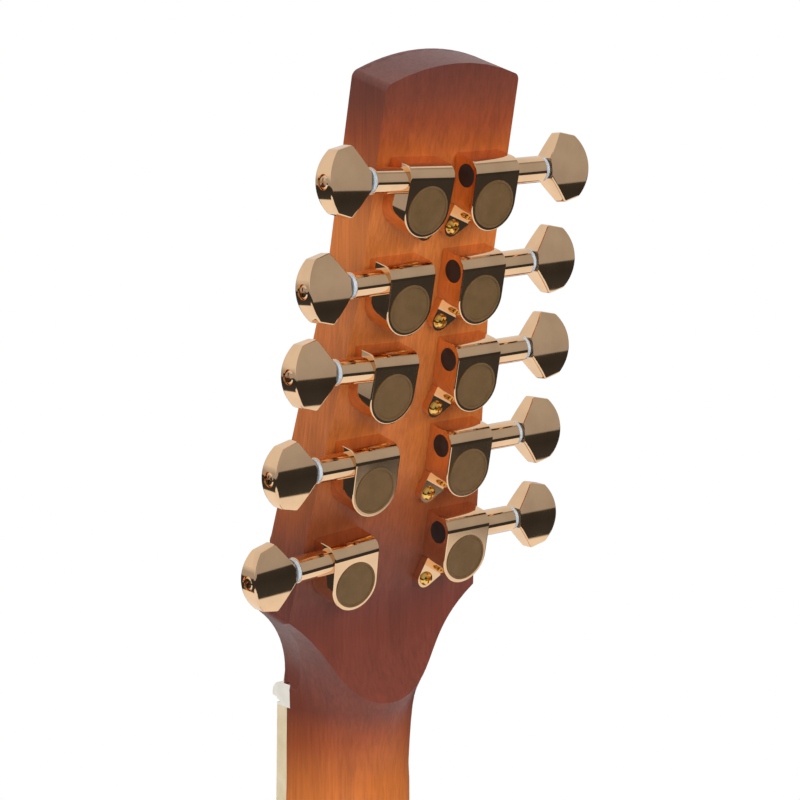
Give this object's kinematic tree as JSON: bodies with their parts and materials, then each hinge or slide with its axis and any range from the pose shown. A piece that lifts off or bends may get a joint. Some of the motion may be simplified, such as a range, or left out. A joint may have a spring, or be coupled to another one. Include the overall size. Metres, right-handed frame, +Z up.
{
  "type": "bouzouki",
  "caption": "Long-necked plucked lute with a flat teardrop body, paired steel strings and a slab headstock of geared tuners with turning buttons.",
  "frame": {"origin": "where the fretboard ends at the nut, on the centre line, in the plane in which the fretboard is glued to the neck; a wall or stand yoke holds the neck here, under the headstock", "axes": "+Z up the neck towards the headstock, +Y towards the back of the instrument, +X towards the treble side"},
  "size_m": [0.35, 0.1087, 1.0097],
  "materials": {
    "black_plastic": "satin",
    "body_wood": "satin",
    "bone": "polished bone",
    "bronze_string": "wound",
    "cap_bronze": "matte",
    "cream_binding": "satin",
    "dark_wood": "satin",
    "gold": "mirror gold plating",
    "neck_wood": "satin",
    "nylon": "translucent",
    "pearl": "pearl",
    "plain_wood": "raw",
    "screw_gold": "bright",
    "spruce": "satin",
    "steel": "polished"
  },
  "bodies": {
    "instrument": {"neck": "neck_wood", "headstock_veneer": "dark_wood", "truss_rod": "steel", "truss_rod_cover": "black_plastic", "fretboard": "dark_wood", "fretboard_binding": "cream_binding", "frets": "steel", "position_dots": "pearl", "nut": "bone", "soundboard": "spruce", "back": "body_wood", "ribs": "body_wood", "body_binding": "cream_binding", "linings": "plain_wood", "head_block": "plain_wood", "tail_block": "plain_wood", "braces": "plain_wood", "rosette": "pearl", "bridge_base": "dark_wood", "bridge_saddle": "bone", "tailpiece": "gold", "small_screws": "screw_gold", "end_pin": "gold", "strings": "bronze_string", "tuner_housings": "gold", "tuner_caps": "cap_bronze", "tuner_bushings": "gold", "tuner_screws": "screw_gold", "worm_plugs": "black_plastic", "nylon_washers": "nylon"},
    "knob_1": {"button_1": "gold", "worm_shaft_1": "steel"},
    "string_post_1": {"post_1": "gold"},
    "knob_2": {"button_2": "gold", "worm_shaft_2": "steel"},
    "string_post_2": {"post_2": "gold"},
    "knob_3": {"button_3": "gold", "worm_shaft_3": "steel"},
    "string_post_3": {"post_3": "gold"},
    "knob_4": {"button_4": "gold", "worm_shaft_4": "steel"},
    "string_post_4": {"post_4": "gold"},
    "knob_5": {"button_5": "gold", "worm_shaft_5": "steel"},
    "string_post_5": {"post_5": "gold"},
    "knob_6": {"button_6": "gold", "worm_shaft_6": "steel"},
    "string_post_6": {"post_6": "gold"},
    "knob_7": {"button_7": "gold", "worm_shaft_7": "steel"},
    "string_post_7": {"post_7": "gold"},
    "knob_8": {"button_8": "gold", "worm_shaft_8": "steel"},
    "string_post_8": {"post_8": "gold"},
    "knob_9": {"button_9": "gold", "worm_shaft_9": "steel"},
    "string_post_9": {"post_9": "gold"},
    "knob_10": {"button_10": "gold", "worm_shaft_10": "steel"},
    "string_post_10": {"post_10": "gold"}
  },
  "joints": [
    {"name": "button_1_turn", "type": "hinge", "parent": "instrument", "child": "knob_1", "pos_m": [0.04543, 0.02604, 0.04645], "axis": [0.9976, -0.0133, -0.0685], "continuous": true},
    {"name": "post_1_turn", "type": "hinge", "parent": "instrument", "child": "string_post_1", "pos_m": [0.019, 0.01985, 0.04239], "axis": [0, 0.9816, -0.1908], "continuous": true},
    {"name": "button_2_turn", "type": "hinge", "parent": "instrument", "child": "knob_2", "pos_m": [0.04266, 0.03144, 0.07424], "axis": [1, -0.0017, -0.0086], "continuous": true},
    {"name": "post_2_turn", "type": "hinge", "parent": "instrument", "child": "string_post_2", "pos_m": [0.0166, 0.02495, 0.0686], "axis": [0, 0.9816, -0.1908], "continuous": true},
    {"name": "button_3_turn", "type": "hinge", "parent": "instrument", "child": "knob_3", "pos_m": [0.04034, 0.03668, 0.10118], "axis": [0.9989, 0.009, 0.0462], "continuous": true},
    {"name": "post_3_turn", "type": "hinge", "parent": "instrument", "child": "string_post_3", "pos_m": [0.0147, 0.02991, 0.09412], "axis": [0, 0.9816, -0.1908], "continuous": true},
    {"name": "button_4_turn", "type": "hinge", "parent": "instrument", "child": "knob_4", "pos_m": [0.039, 0.04108, 0.12384], "axis": [1, 0, 0], "continuous": true},
    {"name": "post_4_turn", "type": "hinge", "parent": "instrument", "child": "string_post_4", "pos_m": [0.013, 0.03455, 0.11798], "axis": [0, 0.9816, -0.1908], "continuous": true},
    {"name": "button_5_turn", "type": "hinge", "parent": "instrument", "child": "knob_5", "pos_m": [0.03685, 0.0465, 0.15171], "axis": [0.9976, 0.0133, 0.0685], "continuous": true},
    {"name": "post_5_turn", "type": "hinge", "parent": "instrument", "child": "string_post_5", "pos_m": [0.0114, 0.03962, 0.14409], "axis": [0, 0.9816, -0.1908], "continuous": true},
    {"name": "button_6_turn", "type": "hinge", "parent": "instrument", "child": "knob_6", "pos_m": [-0.0453, 0.02666, 0.04963], "axis": [-1, 0, 0], "continuous": true},
    {"name": "post_6_turn", "type": "hinge", "parent": "instrument", "child": "string_post_6", "pos_m": [-0.0193, 0.02012, 0.04376], "axis": [0, 0.9816, -0.1908], "continuous": true},
    {"name": "button_7_turn", "type": "hinge", "parent": "instrument", "child": "knob_7", "pos_m": [-0.0419, 0.03158, 0.07495], "axis": [-1, 0, 0], "continuous": true},
    {"name": "post_7_turn", "type": "hinge", "parent": "instrument", "child": "string_post_7", "pos_m": [-0.0159, 0.02504, 0.06909], "axis": [0, 0.9816, -0.1908], "continuous": true},
    {"name": "button_8_turn", "type": "hinge", "parent": "instrument", "child": "knob_8", "pos_m": [-0.0402, 0.03633, 0.09939], "axis": [-1, 0, 0], "continuous": true},
    {"name": "post_8_turn", "type": "hinge", "parent": "instrument", "child": "string_post_8", "pos_m": [-0.0142, 0.02979, 0.09353], "axis": [0, 0.9816, -0.1908], "continuous": true},
    {"name": "button_9_turn", "type": "hinge", "parent": "instrument", "child": "knob_9", "pos_m": [-0.0375, 0.0411, 0.12393], "axis": [-1, 0, 0], "continuous": true},
    {"name": "post_9_turn", "type": "hinge", "parent": "instrument", "child": "string_post_9", "pos_m": [-0.0115, 0.03456, 0.11807], "axis": [0, 0.9816, -0.1908], "continuous": true},
    {"name": "button_10_turn", "type": "hinge", "parent": "instrument", "child": "knob_10", "pos_m": [-0.03742, 0.046, 0.14911], "axis": [-0.9998, -0.0033, -0.0171], "continuous": true},
    {"name": "post_10_turn", "type": "hinge", "parent": "instrument", "child": "string_post_10", "pos_m": [-0.0113, 0.03954, 0.14369], "axis": [0, 0.9816, -0.1908], "continuous": true}
  ],
  "couplings": [
    {"joint": "post_1_turn", "follows": "button_1_turn", "ratio": 0.071429},
    {"joint": "post_2_turn", "follows": "button_2_turn", "ratio": 0.071429},
    {"joint": "post_3_turn", "follows": "button_3_turn", "ratio": 0.071429},
    {"joint": "post_4_turn", "follows": "button_4_turn", "ratio": 0.071429},
    {"joint": "post_5_turn", "follows": "button_5_turn", "ratio": 0.071429},
    {"joint": "post_6_turn", "follows": "button_6_turn", "ratio": 0.071429},
    {"joint": "post_7_turn", "follows": "button_7_turn", "ratio": 0.071429},
    {"joint": "post_8_turn", "follows": "button_8_turn", "ratio": 0.071429},
    {"joint": "post_9_turn", "follows": "button_9_turn", "ratio": 0.071429},
    {"joint": "post_10_turn", "follows": "button_10_turn", "ratio": 0.071429}
  ]
}
